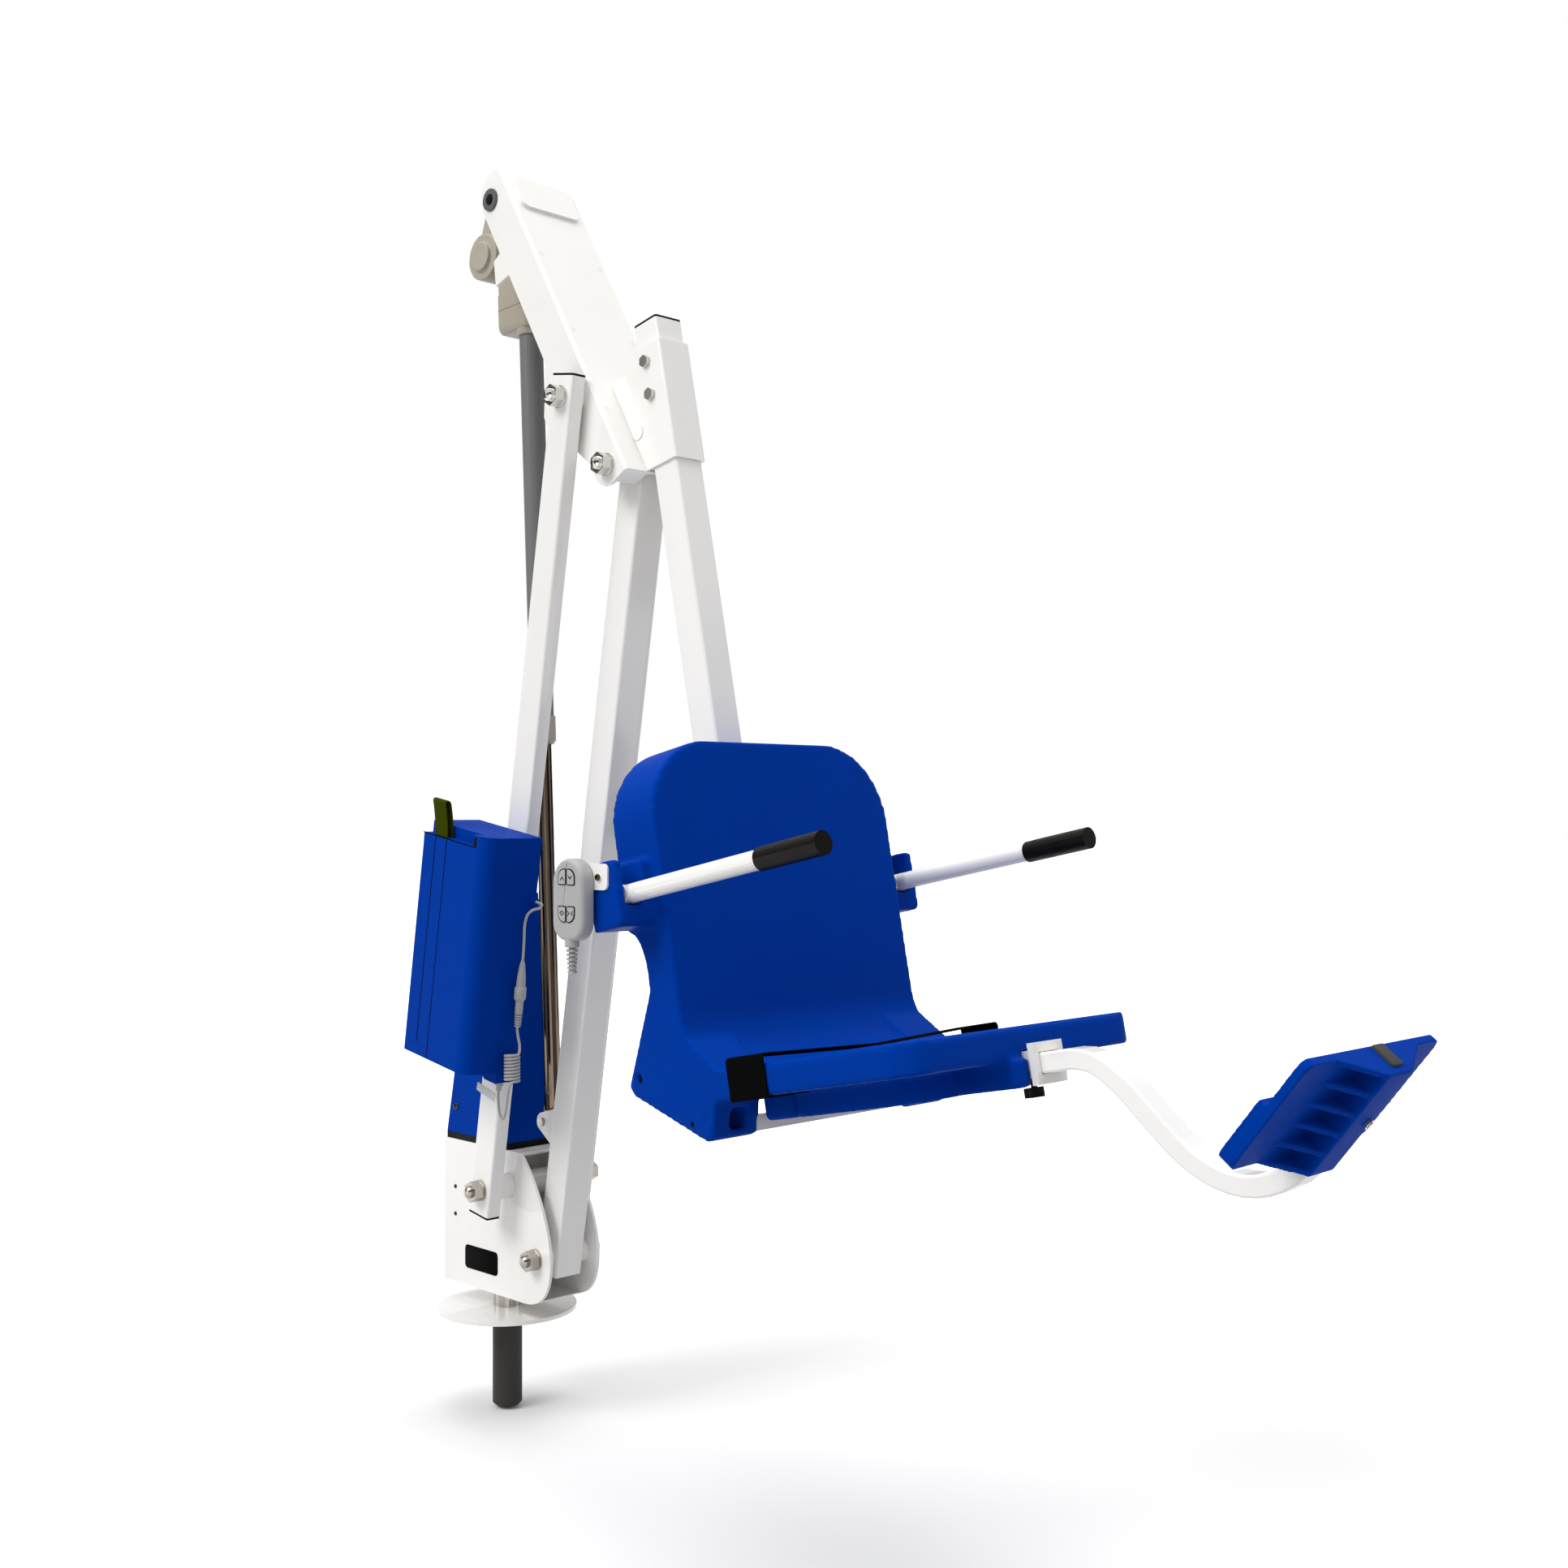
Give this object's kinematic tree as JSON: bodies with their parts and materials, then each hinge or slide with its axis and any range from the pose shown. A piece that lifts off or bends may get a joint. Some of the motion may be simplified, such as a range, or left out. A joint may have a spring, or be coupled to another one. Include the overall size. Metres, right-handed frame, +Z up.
{
  "type": "pool patient lift",
  "caption": "Deck-mounted pool lift: slewing base, parallel-link mast with linear actuator, blue seat on a hanging leg with armrests and footrest, battery box and corded handset.",
  "frame": {"origin": "axis of the anchor post at the underside of the deck flange", "axes": "+Z up, +X where the patient faces, +Y the patient's left"},
  "size_m": [1.6539, 0.6058, 1.9871],
  "materials": {
    "white_powder_coat": "gloss",
    "dark_grey_paint": "satin",
    "stainless_steel": "polished",
    "blue_plastic": "satin",
    "black_plastic": "satin",
    "black_foam": "matte",
    "bronze_grey": "satin",
    "grey_paint": "satin",
    "beige_plastic": "satin",
    "grey_plastic": "satin",
    "black_webbing": "woven",
    "olive_webbing": "woven"
  },
  "bodies": {
    "socket_post": {"anchor_post": "dark_grey_paint", "deck_flange": "white_powder_coat", "slew_shaft": "stainless_steel"},
    "carriage": {"base_housing": "white_powder_coat", "slew_gearmotor": "grey_paint", "link_cross_tube": "white_powder_coat", "tower_cover": "blue_plastic", "cover_trim": "black_plastic", "mast_pivot_sleeve": "white_powder_coat", "mast_pivot_bolt": "stainless_steel", "lower_link_bolt": "stainless_steel"},
    "pinion": {"slew_pinion": "stainless_steel"},
    "mast": {"mast_tube": "white_powder_coat", "lug_bolt_near": "stainless_steel", "lug_bolt_far": "stainless_steel"},
    "near_link": {"near_link_bar": "white_powder_coat", "near_link_cap_bottom": "black_plastic", "near_link_cap_top": "black_plastic", "control_case": "blue_plastic", "supply_lead": "grey_plastic", "cord_connector": "grey_plastic", "coiled_cord": "grey_plastic", "cord_plug": "grey_plastic"},
    "battery": {"battery_pack": "blue_plastic", "pull_strap": "olive_webbing"},
    "far_link": {"far_link_bar": "white_powder_coat", "far_link_cap_bottom": "black_plastic", "far_link_cap_top": "black_plastic"},
    "head": {"head_frame": "white_powder_coat", "head_bushing": "bronze_grey", "head_pivot_bolt": "stainless_steel", "head_pivot_sleeve": "white_powder_coat", "upper_link_tube": "white_powder_coat", "upper_link_bolt": "stainless_steel", "leg_tube": "white_powder_coat", "leg_cap": "black_plastic", "sleeve_bracket": "white_powder_coat", "bracket_bolt_upper": "stainless_steel", "bracket_bolt_lower": "stainless_steel", "seat_shell": "blue_plastic", "seat_frame": "white_powder_coat", "seat_belt": "black_webbing", "handset_clip": "white_powder_coat"},
    "actuator": {"actuator_housing": "beige_plastic", "actuator_tube": "grey_paint", "actuator_nose": "beige_plastic"},
    "rod": {"actuator_rod": "stainless_steel"},
    "near_armrest": {"near_armrest_tube": "white_powder_coat", "near_grip": "black_foam"},
    "far_armrest": {"far_armrest_tube": "white_powder_coat", "far_grip": "black_foam"},
    "footrest": {"footrest_tube": "white_powder_coat", "foot_plate": "blue_plastic", "foot_plate_bolt": "stainless_steel"},
    "knob": {"clamp_knob": "black_plastic"},
    "handset": {"handset_body": "grey_plastic"},
    "raise_button": {"button_raise": "grey_plastic"},
    "lower_button": {"button_lower": "grey_plastic"},
    "turn_left_button": {"button_turn_left": "grey_plastic"},
    "turn_right_button": {"button_turn_right": "grey_plastic"}
  },
  "joints": [
    {"name": "slew", "type": "hinge", "parent": "socket_post", "child": "carriage", "pos_m": [0, 0, 0], "axis": [0, 0, 1], "range_deg": [-120, 120]},
    {"name": "pinion_turn", "type": "hinge", "parent": "carriage", "child": "pinion", "pos_m": [-0.05625, 0, 0.12], "axis": [0, 0, 1], "range_deg": [-245, 245]},
    {"name": "mast_swing", "type": "hinge", "parent": "carriage", "child": "mast", "pos_m": [0.14, 0, 0.111], "axis": [0, 1, 0], "range_deg": [0, 70]},
    {"name": "near_link_swing", "type": "hinge", "parent": "carriage", "child": "near_link", "pos_m": [0.0695, 0, 0.217], "axis": [0, 1, 0], "range_deg": [-1, 71]},
    {"name": "far_link_swing", "type": "hinge", "parent": "carriage", "child": "far_link", "pos_m": [0.0695, 0, 0.217], "axis": [0, 1, 0], "range_deg": [-1, 71]},
    {"name": "head_level", "type": "hinge", "parent": "mast", "child": "head", "pos_m": [0.34343, 0, 1.32406], "axis": [0, 1, 0], "range_deg": [-71, 1]},
    {"name": "actuator_tilt", "type": "hinge", "parent": "head", "child": "actuator", "pos_m": [0.054, 0, 1.784], "axis": [0, 1, 0], "range_deg": [-1, 54.42]},
    {"name": "rod_travel", "type": "slide", "parent": "actuator", "child": "rod", "axis": [-0.0471, 0, 0.9989], "range_m": [-0.002, 0.5254]},
    {"name": "near_armrest_lift", "type": "hinge", "parent": "head", "child": "near_armrest", "pos_m": [0.61727, -0.2615, 0.7052], "axis": [0, -1, 0], "range_deg": [0, 92]},
    {"name": "far_armrest_lift", "type": "hinge", "parent": "head", "child": "far_armrest", "pos_m": [0.61727, 0.2615, 0.7052], "axis": [0, -1, 0], "range_deg": [0, 92]},
    {"name": "footrest_slide", "type": "slide", "parent": "head", "child": "footrest", "axis": [0.9799, 0, 0.1994], "range_m": [-0.03, 0.08]},
    {"name": "knob_turn", "type": "hinge", "parent": "head", "child": "knob", "pos_m": [1.06831, 0, 0.49164], "axis": [-0.1994, 0, 0.9799], "continuous": true},
    {"name": "handset_lift", "type": "slide", "parent": "head", "child": "handset", "axis": [0, 0, 1], "range_m": [0, 0.05]},
    {"name": "battery_lift", "type": "slide", "parent": "near_link", "child": "battery", "axis": [0.1654, 0, 0.9862], "range_m": [0, 0.3]},
    {"name": "press_raise", "type": "slide", "parent": "handset", "child": "raise_button", "axis": [0, 1, 0], "range_m": [0, 0.001], "stiffness_N_per_m": 1500, "springref_m": -0.0005},
    {"name": "press_lower", "type": "slide", "parent": "handset", "child": "lower_button", "axis": [0, 1, 0], "range_m": [0, 0.001], "stiffness_N_per_m": 1500, "springref_m": -0.0005},
    {"name": "press_turn_left", "type": "slide", "parent": "handset", "child": "turn_left_button", "axis": [0, 1, 0], "range_m": [0, 0.001], "stiffness_N_per_m": 1500, "springref_m": -0.0005},
    {"name": "press_turn_right", "type": "slide", "parent": "handset", "child": "turn_right_button", "axis": [0, 1, 0], "range_m": [0, 0.001], "stiffness_N_per_m": 1500, "springref_m": -0.0005}
  ],
  "couplings": [
    {"joint": "pinion_turn", "follows": "slew", "ratio": 2},
    {"joint": "near_link_swing", "follows": "mast_swing", "ratio": 1},
    {"joint": "far_link_swing", "follows": "mast_swing", "ratio": 1},
    {"joint": "head_level", "follows": "mast_swing", "ratio": -1},
    {"joint": "actuator_tilt", "follows": "mast_swing", "ratio": 0.76315},
    {"joint": "rod_travel", "follows": "mast_swing", "m_per_rad": 0.42845}
  ]
}
